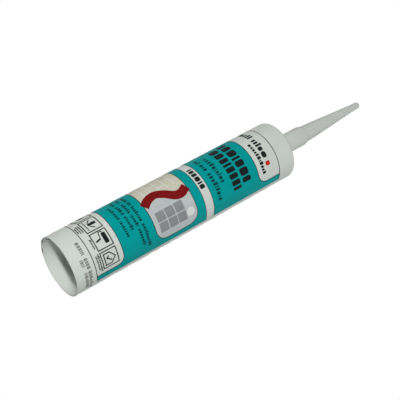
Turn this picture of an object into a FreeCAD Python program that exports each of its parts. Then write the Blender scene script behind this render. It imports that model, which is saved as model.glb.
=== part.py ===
import FreeCAD, Part
import math
import os
import re

import Sketcher

# A cartridge of sealing paste, as it stands on a shelf: on its open rear rim, with the nozzle up.
# Millimetres. The origin is the middle of the rear rim, +Z runs up the tube to the tip of the nozzle,
# and the middle of the printed front faces -Y.

# Driving dimensions, each with the comment that goes beside it in the sheet.
SIZES = {
    "barrel_radius": (25.0, "outside of the barrel"),
    "barrel_length": (217.4, "rear rim to the shoulder's face"),
    "barrel_wall": (1.7, "side wall beside the paste"),
    "rear_bore_depth": (15.0, "wider stretch that the gun's pusher enters"),
    "rear_bore_relief": (0.3, "how much wider that stretch is, on the radius"),
    "rim_lead_in": (0.5, "bevel inside the rear rim"),
    "head_thickness": (2.4, "shoulder that closes the front"),
    "head_round": (3.0, "outer edge of the shoulder"),
    "inner_round": (1.5, "inner edge of the shoulder"),
    "boss_radius": (9.4, "seat of the nozzle on the shoulder"),
    "boss_height": (0.8, "seat of the nozzle above the shoulder"),
    "spout_radius": (6.5, "root of the spout's thread"),
    "spout_length": (20.0, "shoulder's face to the end of the spout"),
    "spout_bore_radius": (4.5, "way out through the spout"),
    "spout_bevel": (0.8, "bevel at the end of the spout"),
    "membrane": (0.6, "skin across the spout, pierced before use"),
    "socket_clearance": (0.75, "spout to nozzle on the radius, taken up by the thread"),
    "socket_headroom": (1.5, "free space above the spout in the nozzle"),
    "nozzle_length": (98.8, "foot to closed tip"),
    "nozzle_foot_wall": (1.1, "socket wall at the foot"),
    "nozzle_collar_wall": (1.15, "socket wall at the top of the collar"),
    "nozzle_collar_length": (27.6, "foot to the step"),
    "nozzle_step_height": (4.0, "sloping step above the collar"),
    "nozzle_root_radius": (7.15, "outside just above the step"),
    "nozzle_belly_radius": (6.83, "outside where the long taper starts"),
    "nozzle_belly_height": (39.0, "foot to the start of the long taper"),
    "nozzle_neck_radius": (3.06, "outside where the long taper ends"),
    "nozzle_neck_height": (8.2, "end of the long taper to the closed tip"),
    "nozzle_wall": (1.15, "wall of the tapered part"),
    "nozzle_tip_radius": (2.92, "round closed end"),
    "nozzle_tip_wall": (3.0, "plastic in the closed end"),
    "piston_depth": (18.0, "rear rim to the piston's rear edge"),
    "piston_height": (19.0, "rear edge to the front lip"),
    "piston_clearance": (0.08, "running fit of the lips in the bore, on the radius"),
    "piston_wall": (1.5, "side wall of the piston"),
    "piston_waist": (0.7, "how far the side lies back between the lips"),
    "piston_lip_height": (2.5, "height of each lip"),
    "piston_crown": (1.8, "front wall of the piston"),
    "piston_rise": (1.6, "how far the front wall rises to its middle"),
    "piston_round": (1.0, "inner corner of the piston's cup"),
    "paste_clearance": (0.1, "paste to the plastic round it"),
    "print_lift": (0.02, "hair gap that keeps the coat of print clear of the barrel"),
    "print_thickness": (0.1, "coat of coloured print"),
    "print_rear_margin": (17.3, "rear rim to the print"),
    "print_front_margin": (17.9, "print to the shoulder's face"),
    "print_gap_centre": (103.5, "angle from the front's middle to the bare strip's middle"),
    "print_gap_angle": (27.0, "width of the bare strip"),
    "icon_panel_height": (25.7, "bare panel for the small signs, at the print's rear edge"),
    "icon_panel_half_angle": (76.0, "half the width of that panel"),
    "name_panel_height": (22.5, "bare panel at the print's front edge"),
    "name_panel_half_angle": (76.0, "half the width of that panel"),
    "panel_round": (6.5, "inner corners of the two bare panels"),
    "picture_low": (73.5, "rear rim to the picture"),
    "picture_height": (40.5, "height of the picture"),
    "picture_half_angle": (75.0, "half the width of the picture"),
    "picture_round": (7.5, "corners of the picture"),
    "band_low": (122.0, "rear rim to the bare band across the print"),
    "band_height": (8.0, "height of the bare band"),
}

# Worked-out places and sizes, in the sheet's names.
BORE = "(barrel_radius - barrel_wall)"
REAR_BORE = f"({BORE} + rear_bore_relief)"
CEILING = "(barrel_length - head_thickness)"
SEAT = "(barrel_length + boss_height)"
SPOUT_END = "(barrel_length + spout_length)"
SOCKET = "(spout_radius + socket_clearance)"
SOCKET_TOP = f"({SPOUT_END} + socket_headroom)"
TIP_END = f"({SEAT} + nozzle_length)"
PISTON_RADIUS = f"({BORE} - piston_clearance)"
PISTON_FRONT = "(piston_depth + piston_height)"
PRINT_BACK = "(barrel_radius + print_lift)"
PRINT_FACE = f"({PRINT_BACK} + print_thickness)"
PRINT_TOP = "(barrel_length - print_front_margin)"
PICTURE_TOP = "(picture_low + picture_height)"
BAND_TOP = "(band_low + band_height)"

# The print is drawn with the front's middle on +X, and this turn brings it to -Y.
FRONT_TURN = FreeCAD.Placement(FreeCAD.Vector(0, 0, 0), FreeCAD.Rotation(FreeCAD.Vector(0, 0, 1), -90))

# How far a cutting outline reaches past what it cuts, and how near a point must be to count as found.
CUT_OVERLAP = 1.0
NEAR = 1e-3

doc = FreeCAD.newDocument("sealant_tube")
sheet = doc.addObject("Spreadsheet::Sheet", "Sizes")
for row, (alias, (value, meaning)) in enumerate(SIZES.items(), start=1):
    sheet.set(f"A{row}", alias)
    sheet.set(f"B{row}", str(value))
    sheet.set(f"C{row}", meaning)
    sheet.setAlias(f"B{row}", alias)
doc.recompute()


def bound(expression):
    """The expression as another object of the document writes it, with the sheet's name before each size."""
    return re.sub(r"[a-z_]{3,}", lambda found: "Sizes." + found.group(), expression)


def number(expression):
    """The expression's present value."""
    return float(sheet.evalExpression(expression))


def new_body(name):
    body = doc.addObject("PartDesign::Body", name)
    body.Label = name
    body.Placement = FreeCAD.Placement()
    return body


def origin_plane(body, role):
    return next(plane for plane in body.Origin.OriginFeatures if plane.Role == role)


def outline(body, name, corners, dome_from=None):
    """A closed sketch beside the Z axis. Corners are (radius, height) in the sheet's names.

    The side that starts at corner dome_from is an arc centred on the axis, and the others are straight.
    """
    sketch = body.newObject("Sketcher::SketchObject", name)
    sketch.AttachmentSupport = (origin_plane(body, "XZ_Plane"), "")
    sketch.MapMode = "FlatFace"
    points = [FreeCAD.Vector(number(radius), number(height), 0) for radius, height in corners]
    for index, start in enumerate(points):
        end = points[(index + 1) % len(points)]
        if index == dome_from:
            centre = FreeCAD.Vector(0, start.y, 0)
            circle = Part.Circle(centre, FreeCAD.Vector(0, 0, 1), start.x)
            sketch.addGeometry(Part.ArcOfCircle(circle, 0, math.pi / 2), False)
            sketch.addConstraint(Sketcher.Constraint("PointOnObject", index, 3, -2))
        else:
            sketch.addGeometry(Part.LineSegment(start, end), False)
    for index, (radius, height) in enumerate(corners):
        sketch.addConstraint(Sketcher.Constraint("Coincident", index, 2, (index + 1) % len(corners), 1))
        place_corner(sketch, index, "DistanceX", radius, points[index].x)
        place_corner(sketch, index, "DistanceY", height, points[index].y)
    return sketch


def place_corner(sketch, side, direction, expression, value):
    """Ties the start of a side to the axis or the base, or to its distance from them in the sheet."""
    if expression == "0":
        line = -2 if direction == "DistanceX" else -1
        sketch.addConstraint(Sketcher.Constraint("PointOnObject", side, 1, line))
        return
    added = sketch.addConstraint(Sketcher.Constraint(direction, -1, 1, side, 1, value))
    sketch.setExpression(f"Constraints[{added}]", bound(expression))


def revolve(body, sketch, name, angle="360"):
    """Turns the sketch about the Z axis, evenly to both sides where the angle is less than a full turn."""
    feature = body.newObject("PartDesign::Revolution", name)
    feature.Profile = sketch
    feature.ReferenceAxis = (sketch, ["V_Axis"])
    feature.Midplane = angle != "360"
    feature.setExpression("Angle", bound(angle))
    body.Tip = feature
    doc.recompute()
    return feature


def ring_edge(feature, radius, height):
    """The name of the round edge of this radius at this height."""
    for index, edge in enumerate(feature.Shape.Edges, start=1):
        if not isinstance(edge.Curve, Part.Circle):
            continue
        right_size = abs(edge.Curve.Radius - number(radius)) < NEAR
        if right_size and abs(edge.Curve.Center.z - number(height)) < NEAR:
            return f"Edge{index}"
    raise ValueError(f"no round edge of radius {radius} at height {height}")


def short_edges(feature):
    """The names of a curved block's four edges that run through its thickness."""
    found = []
    for index, edge in enumerate(feature.Shape.Edges, start=1):
        ends = [vertex.Point for vertex in edge.Vertexes]
        if isinstance(edge.Curve, Part.Line) and abs(ends[0].z - ends[1].z) < NEAR:
            found.append(f"Edge{index}")
    return found


def round_edges(body, feature, edges, radius, name):
    fillet = body.newObject("PartDesign::Fillet", name)
    fillet.Base = (feature, edges)
    fillet.setExpression("Radius", bound(radius))
    body.Tip = fillet
    doc.recompute()
    return fillet


def make_barrel():
    """Tube, shoulder, spout and membrane, moulded as one."""
    body = new_body("barrel")
    corners = [
        (f"{REAR_BORE} + rim_lead_in", "0"),
        ("barrel_radius", "0"),
        ("barrel_radius", "barrel_length"),
        ("boss_radius", "barrel_length"),
        ("boss_radius", SEAT),
        ("spout_radius", SEAT),
        ("spout_radius", f"{SPOUT_END} - spout_bevel"),
        ("spout_radius - spout_bevel", SPOUT_END),
        ("0", SPOUT_END),
        ("0", f"{SPOUT_END} - membrane"),
        ("spout_bore_radius", f"{SPOUT_END} - membrane"),
        ("spout_bore_radius", CEILING),
        (BORE, CEILING),
        (BORE, "rear_bore_depth + rear_bore_relief"),
        (REAR_BORE, "rear_bore_depth"),
        (REAR_BORE, "rim_lead_in"),
    ]
    wall = revolve(body, outline(body, "barrel_section", corners), "barrel_wall_turned")
    edge = ring_edge(wall, "barrel_radius", "barrel_length")
    rounded = round_edges(body, wall, [edge], "head_round", "barrel_head_round")
    edge = ring_edge(rounded, BORE, CEILING)
    round_edges(body, rounded, [edge], "inner_round", "barrel_inner_round")
    return body


def make_nozzle():
    """Socket, collar and tapered spout with its tip still closed, moulded as one."""
    body = new_body("nozzle")
    belly = f"{SEAT} + nozzle_belly_height"
    neck = f"{TIP_END} - nozzle_neck_height"
    step = f"{SEAT} + nozzle_collar_length"
    corners = [
        (SOCKET, SEAT),
        (f"{SOCKET} + nozzle_foot_wall", SEAT),
        (f"{SOCKET} + nozzle_collar_wall", step),
        ("nozzle_root_radius", f"{step} + nozzle_step_height"),
        ("nozzle_belly_radius", belly),
        ("nozzle_neck_radius", neck),
        ("nozzle_tip_radius", f"{TIP_END} - nozzle_tip_radius"),
        ("0", TIP_END),
        ("0", f"{TIP_END} - nozzle_tip_wall"),
        ("nozzle_tip_radius - nozzle_wall", f"{TIP_END} - nozzle_tip_wall"),
        ("nozzle_neck_radius - nozzle_wall", neck),
        ("nozzle_belly_radius - nozzle_wall", belly),
        ("nozzle_root_radius - nozzle_wall", SOCKET_TOP),
        (SOCKET, SOCKET_TOP),
    ]
    revolve(body, outline(body, "nozzle_section", corners, dome_from=6), "nozzle_turned")
    return body


def make_piston():
    """A cup, open to the rear, that runs in the barrel on a lip at each end."""
    body = new_body("piston")
    waist = f"{PISTON_RADIUS} - piston_waist"
    inner = f"({PISTON_RADIUS} - piston_waist - piston_wall)"
    corners = [
        (inner, "piston_depth"),
        (PISTON_RADIUS, "piston_depth"),
        (PISTON_RADIUS, "piston_depth + piston_lip_height"),
        (waist, "piston_depth + piston_lip_height + piston_waist"),
        (waist, f"{PISTON_FRONT} - piston_lip_height - piston_waist"),
        (PISTON_RADIUS, f"{PISTON_FRONT} - piston_lip_height"),
        (PISTON_RADIUS, PISTON_FRONT),
        ("0", f"{PISTON_FRONT} + piston_rise"),
        ("0", f"{PISTON_FRONT} - piston_crown + piston_rise"),
        (inner, f"{PISTON_FRONT} - piston_crown"),
    ]
    cup = revolve(body, outline(body, "piston_section", corners), "piston_turned")
    edge = ring_edge(cup, inner, f"{PISTON_FRONT} - piston_crown")
    round_edges(body, cup, [edge], "piston_round", "piston_inner_round")
    return body


def make_paste():
    """The paste that fills the barrel from the piston to the membrane."""
    body = new_body("sealant_paste")
    side = f"{BORE} - paste_clearance"
    column = "spout_bore_radius - paste_clearance"
    corners = [
        ("0", f"{PISTON_FRONT} + piston_rise + paste_clearance"),
        (side, f"{PISTON_FRONT} + paste_clearance"),
        (side, f"{CEILING} - inner_round"),
        (f"{side} - inner_round", f"{CEILING} - paste_clearance"),
        (column, f"{CEILING} - paste_clearance"),
        (column, f"{SPOUT_END} - membrane - paste_clearance"),
        ("0", f"{SPOUT_END} - membrane - paste_clearance"),
    ]
    revolve(body, outline(body, "paste_section", corners), "paste_turned")
    return body


def coat(name, low, high):
    """The coat of print all round the barrel between two heights."""
    body = new_body(name)
    corners = [(PRINT_BACK, low), (PRINT_FACE, low), (PRINT_FACE, high), (PRINT_BACK, high)]
    revolve(body, outline(body, f"{name}_section", corners), f"{name}_turned")
    return body


def panel(name, low, high, angle, corner_round=None, turn=None):
    """A curved block, thicker than the coat, in the outline of one panel of the print.

    It is centred on the front's middle or turned from it, and its corners are rounded.
    """
    body = new_body(name)
    near = f"{PRINT_BACK} - {CUT_OVERLAP}"
    far = f"{PRINT_FACE} + {CUT_OVERLAP}"
    sketch = outline(body, f"{name}_section", [(near, low), (far, low), (far, high), (near, high)])
    if turn:
        upright = FreeCAD.Vector(0, 1, 0)
        sketch.AttachmentOffset = FreeCAD.Placement(FreeCAD.Vector(), FreeCAD.Rotation(upright, number(turn)))
        sketch.setExpression("AttachmentOffset.Rotation.Angle", bound(turn))
    block = revolve(body, sketch, f"{name}_turned", angle=angle)
    if corner_round:
        round_edges(body, block, short_edges(block), corner_round, f"{name}_round")
    return body


def print_field(kind, name, base, *panels):
    """Sub-part of the print: the coat less its panels, or the coat's share of one panel."""
    tool = panels[0]
    if len(panels) > 1:
        tool = doc.addObject("Part::MultiFuse", f"{name}_panels")
        tool.Shapes = list(panels)
    field = doc.addObject(kind, name)
    field.Label = name
    field.Base = base
    field.Tool = tool
    field.Placement = FRONT_TURN
    return field


def make_print():
    """The coloured print: a rear and a front field with bare plastic between and around them, and a picture."""
    below = f"print_rear_margin - panel_round - {CUT_OVERLAP}"
    beyond = f"{PRINT_TOP} + panel_round + {CUT_OVERLAP}"
    icons_top = "print_rear_margin + icon_panel_height"
    name_low = f"{PRINT_TOP} - name_panel_height"
    rear_coat = coat("rear_coat", "print_rear_margin", "band_low")
    front_coat = coat("front_coat", BAND_TOP, PRINT_TOP)
    picture_coat = coat("picture_coat", "picture_low", PICTURE_TOP)
    strip = panel("bare_strip", below, beyond, "print_gap_angle", turn="print_gap_centre")
    icons = panel("icon_panel", below, icons_top, "2 * icon_panel_half_angle", "panel_round")
    name_place = panel("name_panel", name_low, beyond, "2 * name_panel_half_angle", "panel_round")
    picture = panel("picture_panel", "picture_low", PICTURE_TOP, "2 * picture_half_angle", "picture_round")
    return [
        print_field("Part::Cut", "rear_print_field", rear_coat, strip, icons, picture),
        print_field("Part::Cut", "front_print_field", front_coat, strip, name_place),
        print_field("Part::Common", "picture_print_field", picture_coat, picture),
    ]


def check(subparts):
    """Stops with a plain message where an object failed or a sub-part is empty or broken."""
    for item in doc.Objects:
        if "Invalid" in item.State or "Error" in item.State:
            raise ValueError(f"{item.Label} did not recompute: {item.State}")
    for subpart in subparts:
        if subpart.Shape.isNull() or not subpart.Shape.isValid() or not subpart.Shape.Solids:
            raise ValueError(f"{subpart.Label} has no sound solid")


subparts = [make_barrel(), make_nozzle(), make_piston(), make_paste(), *make_print()]
doc.recompute()
check(subparts)
os.makedirs("parts", exist_ok=True)
for subpart in subparts:
    subpart.Shape.exportStep(f"parts/{subpart.Label}.step")
    box = subpart.Shape.BoundBox
    print(f"{subpart.Label}: {subpart.Shape.Volume / 1000:.3f} ml, z {box.ZMin:.2f} to {box.ZMax:.2f}")
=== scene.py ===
import math
import random

import bmesh
import bpy
from mathutils import Matrix, Vector


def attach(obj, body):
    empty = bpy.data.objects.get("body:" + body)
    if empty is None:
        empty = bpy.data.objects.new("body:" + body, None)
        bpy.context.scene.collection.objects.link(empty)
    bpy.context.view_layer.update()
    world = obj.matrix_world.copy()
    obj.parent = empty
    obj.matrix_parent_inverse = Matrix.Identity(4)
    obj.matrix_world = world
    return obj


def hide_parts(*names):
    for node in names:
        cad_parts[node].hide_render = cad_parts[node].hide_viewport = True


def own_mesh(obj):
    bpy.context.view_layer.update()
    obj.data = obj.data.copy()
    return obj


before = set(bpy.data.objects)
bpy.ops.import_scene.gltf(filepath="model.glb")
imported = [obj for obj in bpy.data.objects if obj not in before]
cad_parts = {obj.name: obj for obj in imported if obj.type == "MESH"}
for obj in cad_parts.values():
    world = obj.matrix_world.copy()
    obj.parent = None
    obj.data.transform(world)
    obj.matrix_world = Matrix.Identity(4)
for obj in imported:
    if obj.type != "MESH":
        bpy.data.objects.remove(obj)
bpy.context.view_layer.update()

# Lengths are millimetres, as in the CAD source, until MM turns them to metres. Angles are degrees, unless a
# function says otherwise. Angles round the barrel start at the middle of the printed front, which faces -Y,
# and grow to the right of someone who looks at it.
MM = 0.001

BARREL_RADIUS = 25.0
BARREL_LENGTH = 217.4
BORE = 23.3
REAR_BORE = 23.6
REAR_BORE_DEPTH = 15.0
RIM_LEAD_IN = 0.5
HEAD_THICKNESS = 2.4
HEAD_ROUND = 3.0
INNER_ROUND = 1.5
SEAT_RADIUS = 9.4
SEAT = 218.2
SPOUT_RADIUS = 6.5
SPOUT_BORE = 4.5
SPOUT_END = 237.4
MEMBRANE = 0.6

SOCKET_RADIUS = 7.25
COLLAR_TOP = SEAT + 27.6
STEP_TOP = COLLAR_TOP + 4.0
BELLY = SEAT + 39.0
TIP_END = 317.0
NECK = TIP_END - 8.2
ROOT_RADIUS = 7.15
BELLY_RADIUS = 6.83
NECK_RADIUS = 3.06
TIP_RADIUS = 2.92
NOZZLE_WALL = 1.15
TIP_WALL = 3.0

PISTON_REAR = 18.0
PISTON_FRONT = 37.0
PASTE_TOP = 214.9

# One helical ridge stands for the thread. Its half width is a share of the pitch.
THREAD_PITCH = 3.0
THREAD_HEIGHT = 0.55
SOCKET_THREAD_HEIGHT = 0.35
THREAD_FADE = 1.2
RIDGE_HALF_WIDTH = 0.34
RIDGE_STEEPNESS = 1.7

# How many flat sides a turned piece has, how many a rounded corner has, how near a radius must be to count
# as the threaded one, and how near the axis a point must be to lie on it.
ROUND_STEPS = 192
CORNER_STEPS = 5
NEAR = 0.05
ON_AXIS = 1e-6

# How far each coat stands out from the barrel's axis: its hidden back, a worn mark on bare plastic, ground
# colours, and marks on top of them. ARC_MM is the length of a degree round the barrel, BEND_STEP is how many
# degrees each flat strip of a bent coat spans, and a cut this near to a corner goes through it.
SKIN = 24.99
WORN_MARK = 25.02
GROUND = 25.05
MARK = 25.08
TOP_MARK = 25.11
ARC_MM = math.radians(BARREL_RADIUS)
BEND_STEP = 2.0
CUT_NEAR = 1e-5

# A line's corner reaches no further out than half its width divided by this.
MITRE_LIMIT = 0.4


# Colour

# How many cells of each noise field lie in a metre.
CLOUDS, GLOSS_PATCHES, GRAIN = 55, 160, 2600
STREAKS, INK_PATCHES, INK_GRAIN = 300, 220, 3200

# The stretches of a noise field's value that are spread over a colour's shades and over a value's range.
SHADES_FROM, SHADES_TO = 0.32, 0.68
RANGE_FROM, RANGE_TO = 0.3, 0.7


def linear(value):
    value /= 255
    return value / 12.92 if value <= 0.04045 else ((value + 0.055) / 1.055) ** 2.4


def tone(red, green, blue):
    """The colour that shows as this 0-255 value in full light."""
    return tuple(linear(part) for part in (red, green, blue))


def new_material(name):
    material = bpy.data.materials.new(name)
    material.use_nodes = True
    tree = material.node_tree
    shader = next(node for node in tree.nodes if node.type == "BSDF_PRINCIPLED")
    return material, tree, shader


def noise(tree, scale, detail, stretch=(1, 1, 1)):
    """A noise field in the object's own metres. Returns its value's socket."""
    coordinates = tree.nodes.new("ShaderNodeTexCoord")
    mapping = tree.nodes.new("ShaderNodeMapping")
    mapping.inputs["Scale"].default_value = stretch
    field = tree.nodes.new("ShaderNodeTexNoise")
    field.inputs["Scale"].default_value = scale
    field.inputs["Detail"].default_value = detail
    tree.links.new(coordinates.outputs["Object"], mapping.inputs["Vector"])
    tree.links.new(mapping.outputs["Vector"], field.inputs["Vector"])
    return field.outputs["Fac"]


def mottled(tree, field, color, amount):
    """The colour, a little darker and lighter by turns as the noise field goes."""
    node = tree.nodes.new("ShaderNodeValToRGB")
    low, high = node.color_ramp.elements
    low.position, high.position = SHADES_FROM, SHADES_TO
    low.color = (*(part * (1 - amount) for part in color), 1)
    high.color = (*(min(part * (1 + amount), 1.0) for part in color), 1)
    tree.links.new(field, node.inputs["Fac"])
    return node.outputs["Color"]


def span(tree, field, low, high):
    """Turns a noise field into a value between two."""
    node = tree.nodes.new("ShaderNodeMapRange")
    node.inputs["From Min"].default_value = RANGE_FROM
    node.inputs["From Max"].default_value = RANGE_TO
    node.inputs["To Min"].default_value = low
    node.inputs["To Max"].default_value = high
    tree.links.new(field, node.inputs["Value"])
    return node.outputs["Result"]


def bump(tree, field, shader, depth_mm, strength):
    node = tree.nodes.new("ShaderNodeBump")
    node.inputs["Distance"].default_value = depth_mm * MM
    node.inputs["Strength"].default_value = strength
    tree.links.new(field, node.inputs["Height"])
    tree.links.new(node.outputs["Normal"], shader.inputs["Normal"])


def plastic(name, color, rough=0.42, specular=0.2, mottle=0.02, grain=0.1):
    """Moulded plastic: a faint cloudiness in its colour and gloss, and a fine grain."""
    material, tree, shader = new_material(name)
    tree.links.new(mottled(tree, noise(tree, CLOUDS, 4), color, mottle), shader.inputs["Base Color"])
    gloss = span(tree, noise(tree, GLOSS_PATCHES, 2), rough - 0.05, rough + 0.05)
    tree.links.new(gloss, shader.inputs["Roughness"])
    shader.inputs["Specular IOR Level"].default_value = specular
    bump(tree, noise(tree, GRAIN, 2), shader, 0.02, grain)
    return material


def ink(name, color, specular=0.025):
    """Printed ink: a thin even film, a little streaky along the tube from the printing roller."""
    material, tree, shader = new_material(name)
    streaks = noise(tree, STREAKS, 3, stretch=(1, 1, 0.12))
    tree.links.new(mottled(tree, streaks, color, 0.04), shader.inputs["Base Color"])
    tree.links.new(span(tree, noise(tree, INK_PATCHES, 2), 0.41, 0.51), shader.inputs["Roughness"])
    shader.inputs["Specular IOR Level"].default_value = specular
    bump(tree, noise(tree, INK_GRAIN, 2), shader, 0.01, 0.2)
    return material


WHITE_PLASTIC = plastic("barrel_plastic", tone(203, 209, 203))
NOZZLE_PLASTIC = plastic("nozzle_plastic", tone(194, 199, 194), rough=0.55, grain=0.04)
PISTON_PLASTIC = plastic("piston_plastic", tone(190, 194, 186), rough=0.5)
PASTE = plastic("black_paste", (0.02, 0.02, 0.022), rough=0.25, specular=0.5, mottle=0.2)
TEAL_INK = ink("teal_ink", tone(5, 151, 151))
# Black print. The same colour also paints the shadow along the label's two ends.
BLACK_INK_AND_EDGE_SHADE = ink("black_ink_and_edge_shade", tone(26, 34, 36))
SMALL_MARK_INK = ink("small_mark_ink", tone(12, 62, 66))
GREY_INK = ink("batch_ink", tone(130, 133, 127))
RED_INK = ink("red_ink", tone(196, 44, 34))
BEIGE_INK = ink("beige_ink", tone(203, 200, 180))
PALE_GREY_INK = ink("pale_grey_ink", tone(185, 192, 191))
MID_GREY_INK = ink("mid_grey_ink", tone(137, 140, 140))
DARK_RED_INK = ink("dark_red_ink", tone(122, 22, 26))
WHITE_INK = ink("white_ink", tone(214, 218, 214), specular=0.2)
DIRT = plastic("dirt", (0.02, 0.02, 0.02), rough=0.7, mottle=0.3)


# Outlines and turned meshes


def rounded_corner(before, corner, after, radius):
    """Points of the arc that rounds a corner between two straight sides."""
    to_before = (before - corner).normalized()
    to_after = (after - corner).normalized()
    half = math.acos(max(-1.0, min(1.0, to_before.dot(to_after)))) / 2
    centre = corner + (to_before + to_after).normalized() * radius / math.sin(half)
    spoke = corner + to_before * radius / math.tan(half) - centre
    last = corner + to_after * radius / math.tan(half) - centre
    turn = math.copysign(math.pi - 2 * half, spoke.x * last.y - spoke.y * last.x)
    return [centre + Matrix.Rotation(turn * k / CORNER_STEPS, 2) @ spoke for k in range(CORNER_STEPS + 1)]


def section(corners):
    """The closed outline through (radius, height) corners. A third number rounds a corner."""
    points = []
    for index, corner in enumerate(corners):
        here = Vector(corner[:2])
        if len(corner) < 3:
            points.append(here)
            continue
        before = Vector(corners[index - 1][:2])
        after = Vector(corners[(index + 1) % len(corners)][:2])
        points += rounded_corner(before, here, after, corner[2])
    return points


def subdivided(start, end, count):
    """The ends of a straight side and the points that part it into this many."""
    return [
        (start[0] + (end[0] - start[0]) * k / count, start[1] + (end[1] - start[1]) * k / count)
        for k in range(count + 1)
    ]


def dome(radius, centre, count):
    """Points of a quarter circle from a ring to the pole above it."""
    points = []
    for k in range(count + 1):
        turn = math.pi / 2 * k / count
        points.append((radius * math.cos(turn) if k < count else 0.0, centre + radius * math.sin(turn)))
    return points


def place(radius, angle, height):
    """A point beside the axis, in metres. The angle is in radians from the front's middle."""
    return Vector((radius * math.sin(angle), -radius * math.cos(angle), height)) * MM


def turned(points, steps=ROUND_STEPS, swell=None):
    """A closed outline turned about the Z axis. swell(radius, radians, height) gives a new radius."""
    bm = bmesh.new()
    rings = []
    for point in points:
        if point.x < ON_AXIS:
            rings.append([bm.verts.new(place(0, 0, point.y))])
            continue
        ring = []
        for k in range(steps):
            angle = 2 * math.pi * k / steps
            radius = swell(point.x, angle, point.y) if swell else point.x
            ring.append(bm.verts.new(place(radius, angle, point.y)))
        rings.append(ring)
    for low, high in zip(rings, rings[1:] + rings[:1]):
        if len(low) == 1 and len(high) == 1:
            continue
        for k in range(steps):
            after = (k + 1) % steps
            if len(low) == 1:
                bm.faces.new((low[0], high[k], high[after]))
            elif len(high) == 1:
                bm.faces.new((low[k], high[0], low[after]))
            else:
                bm.faces.new((low[k], high[k], high[after], low[after]))
    bmesh.ops.recalc_face_normals(bm, faces=bm.faces)
    return bm


def thread(root, ridge_height, low, high):
    """A swell for turned(): a thread on the wall of this radius, which fades in and out at its ends."""

    def swell(radius, angle, height):
        if abs(radius - root) > NEAR or not low < height < high:
            return radius
        phase = ((height - low) / THREAD_PITCH - angle / (2 * math.pi)) % 1.0
        ridge = min(1.0, max(0.0, 1 - abs(phase - 0.5) / RIDGE_HALF_WIDTH) * RIDGE_STEEPNESS)
        fade = min(1.0, (height - low) / THREAD_FADE, (high - height) / THREAD_FADE)
        return radius + ridge_height * (ridge * fade)

    return swell


def finish_mesh(name, bm, material, body, stands_for=(), smooth_below=32):
    mesh = bpy.data.meshes.new(name)
    bm.to_mesh(mesh)
    bm.free()
    mesh.materials.append(material)
    mesh.shade_smooth()
    mesh.set_sharp_from_angle(angle=math.radians(smooth_below))
    piece = bpy.data.objects.new(name, mesh)
    bpy.context.scene.collection.objects.link(piece)
    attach(piece, body)
    if stands_for:
        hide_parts(*stands_for)
    return piece


# Turned pieces


def make_barrel():
    """Tube, shoulder, seat, threaded spout and the membrane across it, with a nub where it was moulded."""
    ceiling = BARREL_LENGTH - HEAD_THICKNESS
    membrane_face, nub_face = SPOUT_END - 0.15, SPOUT_END - 0.02
    corners = [
        (REAR_BORE + RIM_LEAD_IN, 0.0, 0.06),
        (BARREL_RADIUS, 0.0, 0.18),
        (BARREL_RADIUS, 60.0),
        (BARREL_RADIUS, 120.0),
        (BARREL_RADIUS, 180.0),
        (BARREL_RADIUS, BARREL_LENGTH, HEAD_ROUND),
        (SEAT_RADIUS, BARREL_LENGTH, 0.3),
        (SEAT_RADIUS, SEAT, 0.25),
        (SPOUT_RADIUS, SEAT, 0.25),
        *subdivided((SPOUT_RADIUS, SEAT + 0.8), (SPOUT_RADIUS, SPOUT_END - 1.2), 62),
        (SPOUT_RADIUS, SPOUT_END - 0.8),
        (SPOUT_RADIUS - 0.8, SPOUT_END, 0.2),
        (SPOUT_BORE + 0.2, SPOUT_END, 0.1),
        (SPOUT_BORE - 0.2, membrane_face),
        (1.2, membrane_face),
        (0.9, nub_face),
        (0.0, nub_face),
        (0.0, SPOUT_END - MEMBRANE),
        (SPOUT_BORE, SPOUT_END - MEMBRANE),
        (SPOUT_BORE, ceiling, 0.5),
        (BORE, ceiling, INNER_ROUND),
        (BORE, 120.0),
        (BORE, REAR_BORE_DEPTH + REAR_BORE - BORE),
        (REAR_BORE, REAR_BORE_DEPTH),
        (REAR_BORE, 8.0),
        (REAR_BORE, RIM_LEAD_IN),
    ]
    swell = thread(SPOUT_RADIUS, THREAD_HEIGHT, SEAT + 1.6, SPOUT_END - 2.0)
    bm = turned(section(corners), swell=swell)
    return finish_mesh("barrel_shell", bm, WHITE_PLASTIC, "tube", ["barrel"])


def make_nozzle():
    """Collar, step, long taper and closed round tip, hollow from its threaded socket to near the tip."""
    taper = subdivided((BELLY_RADIUS, BELLY), (NECK_RADIUS, NECK), 18)
    socket_top = SPOUT_END + 1.5
    corners = [
        (SOCKET_RADIUS, SEAT, 0.2),
        (SOCKET_RADIUS + 1.1, SEAT, 0.4),
        (SOCKET_RADIUS + 1.15, COLLAR_TOP, 1.2),
        (ROOT_RADIUS, STEP_TOP, 1.6),
        (BELLY_RADIUS, BELLY, 4.0),
        *taper[1:-1],
        (NECK_RADIUS, NECK, 3.0),
        *dome(TIP_RADIUS, TIP_END - TIP_RADIUS, 12),
        (0.0, TIP_END - TIP_WALL),
        (TIP_RADIUS - NOZZLE_WALL, TIP_END - TIP_WALL, 0.5),
        *subdivided((NECK_RADIUS - NOZZLE_WALL, NECK), (BELLY_RADIUS - NOZZLE_WALL, BELLY), 16),
        (ROOT_RADIUS - NOZZLE_WALL, socket_top, 0.3),
        (SOCKET_RADIUS, socket_top, 0.2),
        *subdivided((SOCKET_RADIUS, SPOUT_END), (SOCKET_RADIUS, SEAT + 1.5), 60),
    ]
    swell = thread(SOCKET_RADIUS, SOCKET_THREAD_HEIGHT, SEAT + 3.0, SPOUT_END - 1.0)
    bm = turned(section(corners), steps=128, swell=swell)
    return finish_mesh("nozzle_shell", bm, NOZZLE_PLASTIC, "nozzle", ["nozzle"])


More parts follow.
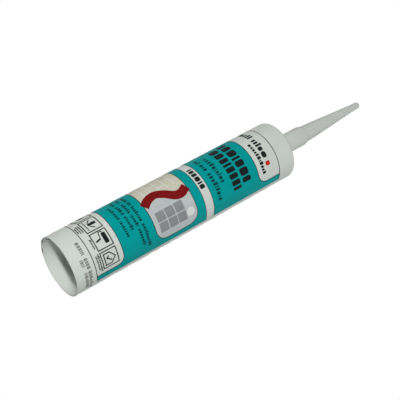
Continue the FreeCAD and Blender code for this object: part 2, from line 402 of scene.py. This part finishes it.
def make_piston():
    """A cup with two lips. Its front rises a little to the middle, and has a ring groove behind."""
    rear, front = PISTON_REAR, PISTON_FRONT
    outer, waist, inner = 23.22, 22.52, 21.02
    lip, lip_end = 2.5, 3.2
    rise, crown_steps = 1.6, 8
    crown = [
        (outer * (1 - k / crown_steps) * 0.97, front + rise * k / crown_steps)
        for k in range(1, crown_steps)
    ]
    corners = [
        (inner, rear, 0.3),
        (outer, rear, 0.3),
        (outer, rear + lip, 0.2),
        (waist, rear + lip_end, 0.4),
        (waist, front - lip_end, 0.4),
        (outer, front - lip, 0.2),
        (outer, front, 0.3),
        *crown,
        (0.0, front + rise),
        (0.0, front - 0.2),
        (5.0, front - 0.6, 0.4),
        (5.6, front - 1.6, 0.4),
        (8.0, front - 1.6, 0.4),
        (8.6, front - 0.9, 0.4),
        (inner, front - 1.8, 1.0),
    ]
    bm = turned(section(corners))
    return finish_mesh("piston_cup", bm, PISTON_PLASTIC, "piston", ["piston"])


def make_paste():
    """The paste between the piston and the shoulder, with a column in the spout up to the membrane."""
    side, column = BORE - 0.1, SPOUT_BORE - 0.1
    column_top = SPOUT_END - MEMBRANE - 0.1
    corners = [
        (0.0, 38.7),
        (12.0, 37.92),
        (side, 37.1, 0.3),
        (side, 90.0),
        (side, 150.0),
        (side, PASTE_TOP - INNER_ROUND),
        (side - INNER_ROUND, PASTE_TOP, 0.6),
        (column, PASTE_TOP, 0.4),
        (column, column_top, 0.4),
        (0.0, column_top),
    ]
    bm = turned(section(corners), steps=96)
    piece = finish_mesh("paste_column", bm, PASTE, "tube", ["sealant_paste"])
    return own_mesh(piece)


# Print, drawn flat as it lies round the barrel: u is the arc length from the front's middle, v is the
# height. A shape is an outline and its holes.


def cut_in_strips(bm, width):
    """Cuts flat faces along u, so that they bend round the barrel."""
    spread = [vert.co.x for vert in bm.verts]
    for k in range(math.floor(min(spread) / width) + 1, math.ceil(max(spread) / width)):
        everything = bm.verts[:] + bm.edges[:] + bm.faces[:]
        cut = (k * width, 0, 0)
        bmesh.ops.bisect_plane(bm, geom=everything, dist=CUT_NEAR, plane_co=cut, plane_no=(1, 0, 0))


def thicken(bm, face):
    """Raises flat faces to this radius and walls their sides. The back stays open, hidden in the barrel.
    Returns the raised faces."""
    made = bmesh.ops.extrude_face_region(bm, geom=bm.faces[:], use_keep_orig=True)
    for item in made["geom"]:
        if isinstance(item, bmesh.types.BMVert):
            item.co.z = face
    halfway = (SKIN + face) / 2
    backs = [item for item in bm.faces if all(vert.co.z < halfway for vert in item.verts)]
    bmesh.ops.delete(bm, geom=backs, context="FACES_ONLY")
    return [item for item in made["geom"] if isinstance(item, bmesh.types.BMFace)]


def wrap(name, shapes, face, material, stands_for=()):
    """One printed mark: flat shapes bent round the barrel as a thin coat that ends at this radius."""
    bm = bmesh.new()
    for loops in shapes:
        edges = []
        for loop in loops:
            verts = [bm.verts.new((u, v, SKIN)) for u, v in loop]
            edges += [bm.edges.new(pair) for pair in zip(verts, verts[1:] + verts[:1])]
        bmesh.ops.triangle_fill(bm, edges=edges, use_beauty=True, normal=(0, 0, 1))
    cut_in_strips(bm, BEND_STEP * ARC_MM)
    fronts = thicken(bm, face)
    for vert in bm.verts:
        vert.co = place(vert.co.z, vert.co.x / BARREL_RADIUS, vert.co.y)
    bmesh.ops.recalc_face_normals(bm, faces=bm.faces)
    for item in fronts:
        middle = item.calc_center_median()
        if item.normal.dot(Vector((middle.x, middle.y, 0))) < 0:
            bmesh.ops.reverse_faces(bm, faces=bm.faces)
            break
    return finish_mesh(name, bm, material, "tube", stands_for)


def arc(u, v, radius, start, end, steps=8):
    """Points of an arc about (u, v), from one angle to another."""
    points = []
    for k in range(steps + 1):
        turn = math.radians(start + (end - start) * k / steps)
        points.append((u + radius * math.cos(turn), v + radius * math.sin(turn)))
    return points


def bar(left, right, low, high, radius=0.0, steps=6):
    """A plain or round-cornered rectangle."""
    if radius <= 0:
        return [(left, low), (right, low), (right, high), (left, high)]
    return [
        *arc(right - radius, low + radius, radius, -90, 0, steps),
        *arc(right - radius, high - radius, radius, 0, 90, steps),
        *arc(left + radius, high - radius, radius, 90, 180, steps),
        *arc(left + radius, low + radius, radius, 180, 270, steps),
    ]


def stroke(points, width):
    """A line of this width through the points, with square ends and mitred corners."""
    path = [Vector(point) for point in points]
    sides = []
    for index, point in enumerate(path):
        before = path[index] - path[index - 1] if index else path[1] - path[0]
        after = path[index + 1] - path[index] if index + 1 < len(path) else before
        across = before.normalized().orthogonal() + after.normalized().orthogonal()
        across.normalize()
        reach = width / 2 / max(MITRE_LIMIT, across.dot(before.normalized().orthogonal()))
        sides.append((point + across * reach, point - across * reach))
    return [tuple(a) for a, b in sides] + [tuple(b) for a, b in reversed(sides)]


def smooth_path(points, count):
    """More points along a soft curve through the given ones."""
    path = [Vector(point) for point in points]
    ends = [path[0] * 2 - path[1], *path, path[-1] * 2 - path[-2]]
    made = []
    for a, b, c, d in zip(ends, ends[1:], ends[2:], ends[3:]):
        for k in range(count):
            t = k / count
            made.append(0.5 * (2 * b + (c - a) * t + (2 * a - 5 * b + 4 * c - d) * t * t
                               + (3 * b - a - 3 * c + d) * t * t * t))
    return [*made, path[-1]]


def deg(*angles):
    """Arc lengths of these angles round the barrel."""
    return [angle * ARC_MM for angle in angles]


PRINT_LOW, PRINT_HIGH = 17.1, 199.7
PRINT_LEFT, PRINT_RIGHT = deg(-243, 90)
PANEL_HALF = 76 * ARC_MM
PANEL_ROUND = 6.5
SIGNS_HIGH = 42.3
HEAD_PANEL_HALF = 72.5 * ARC_MM
HEAD_PANEL_ROUND = 8.0
HEAD_PANEL_LOW = 177.7
BAND_LOW, BAND_HIGH = 122.0, 129.5
PICTURE_HALF = 75 * ARC_MM
PICTURE_LOW, PICTURE_HIGH = 74.1, 113.6
PICTURE_ROUND = 10.0
PICTURE_STEPS = 10

# Widths of the lines along the print's ends (the label's dark edge, with the shadow of its step painted on)
# and round its panels, and of those beside the bare band.
BORDER = 0.6
BAND_BORDER = 0.5


def signs_edge(out):
    """The outline of the white panel round the signs, moved out by this much."""
    inner, radius = PANEL_HALF - PANEL_ROUND, PANEL_ROUND + out
    return [
        (-PANEL_HALF - out, PRINT_LOW),
        *arc(-inner, SIGNS_HIGH - PANEL_ROUND, radius, 180, 90),
        *arc(inner, SIGNS_HIGH - PANEL_ROUND, radius, 90, 0),
        (PANEL_HALF + out, PRINT_LOW),
    ]


def head_edge(out):
    """The outline of the white panel near the shoulder, moved out by this much."""
    inner, radius = HEAD_PANEL_HALF - HEAD_PANEL_ROUND, HEAD_PANEL_ROUND + out
    return [
        (HEAD_PANEL_HALF + out, PRINT_HIGH),
        *arc(inner, HEAD_PANEL_LOW + HEAD_PANEL_ROUND, radius, 0, -90),
        *arc(-inner, HEAD_PANEL_LOW + HEAD_PANEL_ROUND, radius, -90, -180),
        (-HEAD_PANEL_HALF - out, PRINT_HIGH),
    ]


def picture_edge(out):
    """The outline of the picture, moved out by this much."""
    half = PICTURE_HALF + out
    return bar(-half, half, PICTURE_LOW - out, PICTURE_HIGH + out, PICTURE_ROUND + out, PICTURE_STEPS)


def make_grounds():
    """The teal fields round the panels, the picture and the bare band, and the fine lines at their edges;
    those at the print's ends are the label's dark edge with its shadow painted on.
    """
    rear = [
        (PRINT_RIGHT, PRINT_LOW),
        (PRINT_RIGHT, BAND_LOW),
        (PRINT_LEFT, BAND_LOW),
        (PRINT_LEFT, PRINT_LOW),
        *signs_edge(0),
    ]
    wrap("rear_print", [[rear, picture_edge(0)]], GROUND, TEAL_INK, ["rear_print_field"])
    front = [
        (PRINT_LEFT, PRINT_HIGH),
        (PRINT_LEFT, BAND_HIGH),
        (PRINT_RIGHT, BAND_HIGH),
        (PRINT_RIGHT, PRINT_HIGH),
        *head_edge(0),
    ]
    wrap("front_print", [[front]], GROUND, TEAL_INK, ["front_print_field"])
    # The first two lines lie along the label's ends: its dark edge, with the shadow of its step painted on as
    # black.
    lines = [
        [bar(PRINT_LEFT, PRINT_RIGHT, PRINT_LOW, PRINT_LOW + BORDER)],
        [bar(PRINT_LEFT, PRINT_RIGHT, PRINT_HIGH - BORDER, PRINT_HIGH)],
        [bar(PRINT_LEFT, PRINT_RIGHT, BAND_LOW - BAND_BORDER, BAND_LOW)],
        [bar(PRINT_LEFT, PRINT_RIGHT, BAND_HIGH, BAND_HIGH + BAND_BORDER)],
    ]
    wrap("print_border_and_edge_shade_lines", lines, MARK, BLACK_INK_AND_EDGE_SHADE)
    around = [
        [stroke(signs_edge(BORDER / 2), BORDER)],
        [stroke(head_edge(BORDER / 2), BORDER)],
        [picture_edge(BORDER), picture_edge(0)],
    ]
    wrap("panel_edge_lines", around, TOP_MARK, BLACK_INK_AND_EDGE_SHADE)


def make_picture():
    """A plain design of joints and tiles in the print's colours: courses, a bead along a joint, and tiles."""
    middle = [(-2.5, 80.0), (-4.0, 87.0), (-1.0, 94.0), (4.0, 101.0), (5.0, 107.0)]
    bend = [(1.5, PICTURE_LOW), *middle, (2.0, PICTURE_HIGH)]
    inner = PICTURE_HALF - PICTURE_ROUND
    low, high = PICTURE_LOW + PICTURE_ROUND, PICTURE_HIGH - PICTURE_ROUND
    left = [
        *bend,
        *arc(-inner, high, PICTURE_ROUND, 90, 180, PICTURE_STEPS),
        *arc(-inner, low, PICTURE_ROUND, 180, 270, PICTURE_STEPS),
    ]
    right = [
        *reversed(bend),
        *arc(inner, low, PICTURE_ROUND, -90, 0, PICTURE_STEPS),
        *arc(inner, high, PICTURE_ROUND, 0, 90, PICTURE_STEPS),
    ]
    wrap("picture_courses", [[left]], GROUND, BEIGE_INK, ["picture_print_field"])
    wrap("picture_wall", [[right]], GROUND, PALE_GREY_INK)
    course, brick, joint = 6.7, 9.5, 0.7
    joints = []
    for index in range(5):
        height = 80.2 + course * index
        joints.append([bar(-32.4, -4.5, height, height + joint)])
        for k in range(3):
            at = -28.0 + brick * k + (4.7 if index % 2 else 0.0)
            if at < -6.5:
                joints.append([bar(at, at + joint, height + joint, height + course)])
    wrap("picture_joints", joints, MARK, WHITE_INK)
    tile, pitch = 8.0, 8.8
    tiles = []
    for column in range(2):
        for line in range(3):
            u, v = 9.4 + pitch * column, 78.0 + pitch * line
            tiles.append([bar(u, u + tile, v, v + tile, 0.6, 3)])
    wrap("picture_tiles", tiles, MARK, MID_GREY_INK)
    wrap("picture_bead", [[stroke(smooth_path(bend, 6), 7.4)]], TOP_MARK, DARK_RED_INK)
    disc = arc(21.5, 107.6, 3.6, 0, 348.75, 31)
    wrap("picture_disc", [[disc]], MARK, WHITE_INK)


# Styles of block rows: the height of a tall block, the usual width and gap, and the share of tall blocks.
SMALL = (3.0, 1.5, 0.55, 0.35)
MEDIUM = (4.4, 2.2, 0.9, 0.35)
LARGE = (8.2, 5.4, 1.3, 1.0)
BAND = (4.6, 3.6, 0.8, 1.0)
HEAD = (5.8, 4.6, 0.9, 0.5)
UNDER_HEAD = (3.4, 2.2, 0.6, 0.5)
ACCENT = (5.8, 4.6, 0.9, 0.0)
FINE = (1.5, 1.1, 0.25, 0.35)
FINER = (1.4, 1.1, 0.25, 0.35)
FINEST = (1.2, 1.1, 0.25, 0.35)
WORN = (3.0, 1.9, 0.5, 0.8)
LOW_WORN = (2.8, 1.9, 0.5, 0.8)

# Shares of the style's width and height: the widths that a block may have, the least one at a group's end,
# the height of a low block, and the rounding of its corners.
BLOCK_WIDTHS = (0.42, 0.8, 1.0, 1.2)
LEAST_WIDTH = 0.4
LOW_BLOCK = 0.74
BLOCK_ROUND = 0.3


def group(rng, style, low, left, right):
    """Plain blocks of mixed widths and heights from one angle to another, standing on this height."""
    height, usual, gap, tall = style
    shapes = []
    at, end = deg(left, right)
    while at < end - LEAST_WIDTH * usual:
        width = min(usual * rng.choice(BLOCK_WIDTHS), end - at)
        top = low + height * (1.0 if rng.random() < tall else LOW_BLOCK)
        shapes.append([bar(at, at + width, low, top, min(width, height) * BLOCK_ROUND, 4)])
        at += width + gap
    return shapes


def row(rng, style, low, *spans):
    """Groups of blocks on one line. Each span is a group's left and right angle."""
    return [shape for left, right in spans for shape in group(rng, style, low, left, right)]


def make_marks():
    """Rows of plain blocks on the print's fields, on its panels and on the bare rear of the barrel."""
    rng = random.Random(7)
    small = [
        *row(rng, SMALL, 64.8, (-68, -50), (-46, -14), (-10, 22), (27, 71)),
        *row(rng, SMALL, 60.2, (-66, -50), (-46, -29), (-25, 0), (4, 27), (32, 66)),
        *row(rng, SMALL, 55.2, (-52, -30), (-26, -4), (1, 29)),
        *row(rng, SMALL, 49.8, (-34, 1), (5, 37)),
        *row(rng, MEDIUM, 135.0, (-38, -24), (-21, -2), (4, 61)),
        *row(rng, MEDIUM, 142.2, (-32, 33)),
    ]
    wrap("small_line_marks", small, MARK, SMALL_MARK_INK)
    large = [
        *row(rng, LARGE, 151.0, (-42, 57)),
        *row(rng, LARGE, 161.4, (-46, 58)),
    ]
    wrap("large_line_marks", large, MARK, BLACK_INK_AND_EDGE_SHADE)
    panel = [
        *row(rng, BAND, 123.4, (-24, 25)),
        *row(rng, HEAD, 187.2, (-54, -22), (-15, 30)),
        *row(rng, UNDER_HEAD, 182.0, (-10, 58)),
        *row(rng, FINE, 21.8, (-63, -45), (-29, -8), (8, 27), (36, 70)),
        *row(rng, FINER, 20.0, (-29, -9), (38, 66)),
        *row(rng, FINEST, 18.3, (-26, -12)),
    ]
    wrap("panel_marks", panel, GROUND, BLACK_INK_AND_EDGE_SHADE)
    wrap("panel_accent", row(rng, ACCENT, 187.2, (35, 46)), GROUND, RED_INK)
    batch = [
        *row(rng, WORN, 10.8, (1, 27), (32, 52), (56, 99)),
        *row(rng, LOW_WORN, 7.3, (32, 46), (56, 94)),
    ]
    wrap("batch_marks", batch, WORN_MARK, GREY_INK)


def drop_sign(at):
    """A drop with its point up."""
    return [[[(at, 35.8), *arc(at, 29.8, 3.0, 150, 390, 18)]]]


def bristles_sign(at):
    """A foot line, one thick bristle that stands on it, and one thin bristle to each side."""
    return [
        [bar(at - 5.4, at + 5.4, 26.6, 27.3)],
        [stroke([(at, 28.8), (at, 35.6)], 2.8)],
        [stroke([(at - 2.0, 29.6), (at - 4.8, 32.6)], 0.9)],
        [stroke([(at + 2.0, 29.6), (at + 4.8, 32.6)], 0.9)],
    ]


def roller_sign(at):
    """A paint roller: its drum, the bent wire from the drum's end, and the handle."""
    wire = [(at - 4.4, 34.1), (at - 6.0, 33.5), (at - 5.6, 31.2), (at - 0.4, 30.2)]
    return [
        [bar(at - 4.4, at + 4.4, 32.3, 35.9, 1.0, 4)],
        [stroke(wire, 0.7)],
        [stroke([(at - 0.6, 30.4), (at + 0.4, 26.0)], 1.3)],
    ]


def house_sign(at):
    """A house's outline with a tick in it."""

    def house(half, low, eaves, top):
        return [(at - half, low), (at + half, low), (at + half, eaves), (at, top), (at - half, eaves)]

    return [
        [house(5.0, 26.0, 31.8, 36.2), house(4.1, 26.9, 31.4, 35.0)],
        [stroke([(at - 2.2, 30.4), (at - 0.6, 28.4), (at + 2.2, 32.4)], 1.0)],
    ]


def make_signs():
    """Four framed boxes, each with a simple sign in it."""
    low, high, line = 23.8, 38.1, 0.85
    boxes = [deg(*angles) for angles in ((-71.5, -39), (-36, -2.8), (0, 33.5), (36.5, 68.5))]
    shapes = [
        [bar(left, right, low, high), bar(left + line, right - line, low + line, high - line)]
        for left, right in boxes
    ]
    for (left, right), sign in zip(boxes, (drop_sign, bristles_sign, roller_sign, house_sign)):
        shapes += sign((left + right) / 2)
    wrap("sign_boxes", shapes, GROUND, BLACK_INK_AND_EDGE_SHADE)


# Dried paste on the rear rim: each speck's angle, radius, height and size, where the photo shows it.
SPECKS = (
    (279.0, 23.9, 0.0, 0.95),
    (303.0, 23.3, 0.9, 0.85),
    (321.5, 24.2, 0.0, 0.8),
    (252.5, 23.9, 0.0, 0.9),
    (248.2, 24.0, 0.0, 0.7),
    (287.0, 24.0, 0.0, 0.5),
)


def make_specks():
    """Flat uneven lumps, drawn out along the rim."""
    long, deep, flat, uneven_by = 1.5, 0.75, 0.3, 0.09
    rng = random.Random(3)
    bm = bmesh.new()
    for angle, radius, height, size in SPECKS:
        made = bmesh.ops.create_icosphere(bm, subdivisions=3, radius=1.0)
        turn = math.radians(angle)
        centre = place(radius, turn, height)
        lobes = [(rng.uniform(0.8, 1.2), rng.uniform(0, 6.28)) for _ in range(3)]
        for vert in made["verts"]:
            co = vert.co.copy()
            about = math.atan2(co.y, co.x)
            waves = [uneven_by * a * math.sin((i + 2) * about + b) for i, (a, b) in enumerate(lobes)]
            along = Vector((math.cos(turn), math.sin(turn), 0)) * co.x * long
            outward = Vector((math.sin(turn), -math.cos(turn), 0)) * co.y * deep
            up = Vector((0, 0, 1)) * co.z * flat
            vert.co = centre + (along + outward + up) * size * (1 + sum(waves)) * MM
    return finish_mesh("rim_specks", bm, DIRT, "tube", smooth_below=80)


make_barrel()
make_nozzle()
make_piston()
make_paste()
make_grounds()
make_picture()
make_marks()
make_signs()
make_specks()


# Floor, light and camera, in metres and watts

FLOOR_RADIUS = 1.5
FLOOR_DROP = 0.0004
FLOOR_GREY = 0.7
FLOOR_GLOW = 0.45
WORLD_LIGHT = 0.01

# Widths and heights of the lamps, and how far most of them stand off.
STRIP, PANEL, NEAR_PANEL, BACK_PANEL = (0.7, 0.05), (0.7, 0.5), (0.3, 0.3), (0.8, 0.6)
FAR = 1.4

# The camera's sensor and lens in millimetres, and the picture's width in pixels, for a shift of half a pixel.
SENSOR_WIDTH = 36.0
LENS = 86.9334
IMAGE_WIDTH = 400


def combined(tree, operation, first, second):
    """The result of a Math node on two sockets, the first of which may be a number instead."""
    node = tree.nodes.new("ShaderNodeMath")
    node.operation = operation
    if isinstance(first, float):
        node.inputs[0].default_value = first
    else:
        tree.links.new(first, node.inputs[0])
    tree.links.new(second, node.inputs[1])
    return node.outputs[0]


def mixed(tree, share, first, second):
    """The first shader where the share is 0, and the second where it is 1."""
    mix = tree.nodes.new("ShaderNodeMixShader")
    tree.links.new(share, mix.inputs["Fac"])
    tree.links.new(first.outputs[0], mix.inputs[1])
    tree.links.new(second.outputs[0], mix.inputs[2])
    return mix.outputs[0]


def background_share(tree):
    """1 for rays that should see the white background, and 0 for rays that carry light."""
    path = tree.nodes.new("ShaderNodeLightPath")
    share = path.outputs["Is Camera Ray"]
    for name in ("Is Glossy Ray", "Is Transmission Ray"):
        share = combined(tree, "MAXIMUM", share, path.outputs[name])
    return share


def make_world():
    world = bpy.data.worlds.new("studio")
    bpy.context.scene.world = world
    world.use_nodes = True
    tree = world.node_tree
    tree.nodes.clear()
    light = tree.nodes.new("ShaderNodeBackground")
    light.inputs["Color"].default_value = (1, 1, 1, 1)
    light.inputs["Strength"].default_value = WORLD_LIGHT
    seen = tree.nodes.new("ShaderNodeBackground")
    seen.inputs["Color"].default_value = (1, 1, 1, 1)
    output = tree.nodes.new("ShaderNodeOutputWorld")
    tree.links.new(mixed(tree, background_share(tree), light, seen), output.inputs["Surface"])


def floor_material():
    """Pale where it is seen from above, and clear for what sees it from below and for the lamps' light."""
    material = bpy.data.materials.new("pale_floor")
    material.use_nodes = True
    tree = material.node_tree
    tree.nodes.clear()
    matte = tree.nodes.new("ShaderNodeBsdfDiffuse")
    matte.inputs["Color"].default_value = (FLOOR_GREY, FLOOR_GREY, FLOOR_GREY, 1)
    glow = tree.nodes.new("ShaderNodeEmission")
    glow.inputs["Strength"].default_value = FLOOR_GLOW
    pale = tree.nodes.new("ShaderNodeAddShader")
    tree.links.new(matte.outputs[0], pale.inputs[0])
    tree.links.new(glow.outputs[0], pale.inputs[1])
    clear = tree.nodes.new("ShaderNodeBsdfTransparent")
    side = tree.nodes.new("ShaderNodeNewGeometry")
    above = combined(tree, "SUBTRACT", 1.0, side.outputs["Backfacing"])
    shown = combined(tree, "MULTIPLY", above, background_share(tree))
    output = tree.nodes.new("ShaderNodeOutputMaterial")
    tree.links.new(mixed(tree, shown, clear, pale), output.inputs["Surface"])
    return material


def make_floor():
    bm = bmesh.new()
    bmesh.ops.create_circle(bm, cap_ends=True, segments=128, radius=FLOOR_RADIUS)
    for vert in bm.verts:
        vert.co.z = -FLOOR_DROP
    mesh = bpy.data.meshes.new("floor")
    bm.to_mesh(mesh)
    bm.free()
    floor = bpy.data.objects.new("floor", mesh)
    bpy.context.scene.collection.objects.link(floor)
    mesh.materials.append(floor_material())


def lamp(name, angle, rise, distance, size, power, aim_height=0.11):
    """A soft lamp, at this angle round the tube and this rise above the horizon, that faces its axis."""
    light = bpy.data.lights.new(name, "AREA")
    light.shape = "RECTANGLE"
    light.size, light.size_y = size
    light.energy = power
    thing = bpy.data.objects.new(name, light)
    bpy.context.scene.collection.objects.link(thing)
    turn, up = math.radians(angle), math.radians(rise)
    back = Vector((math.sin(turn) * math.cos(up), -math.cos(turn) * math.cos(up), math.sin(up)))
    thing.location = Vector((0, 0, aim_height)) + back * distance
    thing.rotation_euler = back.to_track_quat("Z", "Y").to_euler()


def make_lamps():
    lamp("key", 20, -17, FAR, STRIP, 13.4)
    lamp("fill_far_left", -75, -20, FAR, STRIP, 3.4)
    lamp("fill_left", -40, -20, FAR, STRIP, 2.2)
    lamp("fill_near_left", -10, -20, FAR, STRIP, 1.5)
    lamp("fill_near_right", 38, -20, FAR, STRIP, 0.5)
    lamp("low_front", 20, -32, FAR, STRIP, 1.8)
    lamp("low_right", 100, -32, FAR, STRIP, 3.4)
    lamp("top_left", -40, 65, FAR, PANEL, 2.7)
    lamp("nozzle_side", 110, 5, 0.4, NEAR_PANEL, 0.38, aim_height=0.3)
    lamp("nozzle_top", 100, 60, 0.5, NEAR_PANEL, 0.43, aim_height=0.27)
    lamp("back", 204, 20, 1.6, BACK_PANEL, 13.3)


def make_camera():
    """The photo's view of the standing tube: from in front and below, and rolled."""
    eye = Vector((0.2831515, -0.6359687, -0.2250636))
    aim = Vector((0.0067222, 0.0029083, 0.1311018))
    roll = 61.20708
    half_pixel = 0.5 / IMAGE_WIDTH
    camera = bpy.data.objects.new("camera", bpy.data.cameras.new("camera"))
    bpy.context.scene.collection.objects.link(camera)
    level = (aim - eye).to_track_quat("-Z", "Y").to_matrix().to_4x4()
    camera.matrix_world = Matrix.Translation(eye) @ level @ Matrix.Rotation(math.radians(roll), 4, "Z")
    camera.data.sensor_width = SENSOR_WIDTH
    camera.data.lens = LENS
    camera.data.shift_x = -half_pixel
    camera.data.shift_y = half_pixel
    camera.data.clip_start = 0.01
    bpy.context.scene.camera = camera


make_world()
make_floor()
make_lamps()
make_camera()

scene = bpy.context.scene
scene.view_settings.view_transform = "Standard"
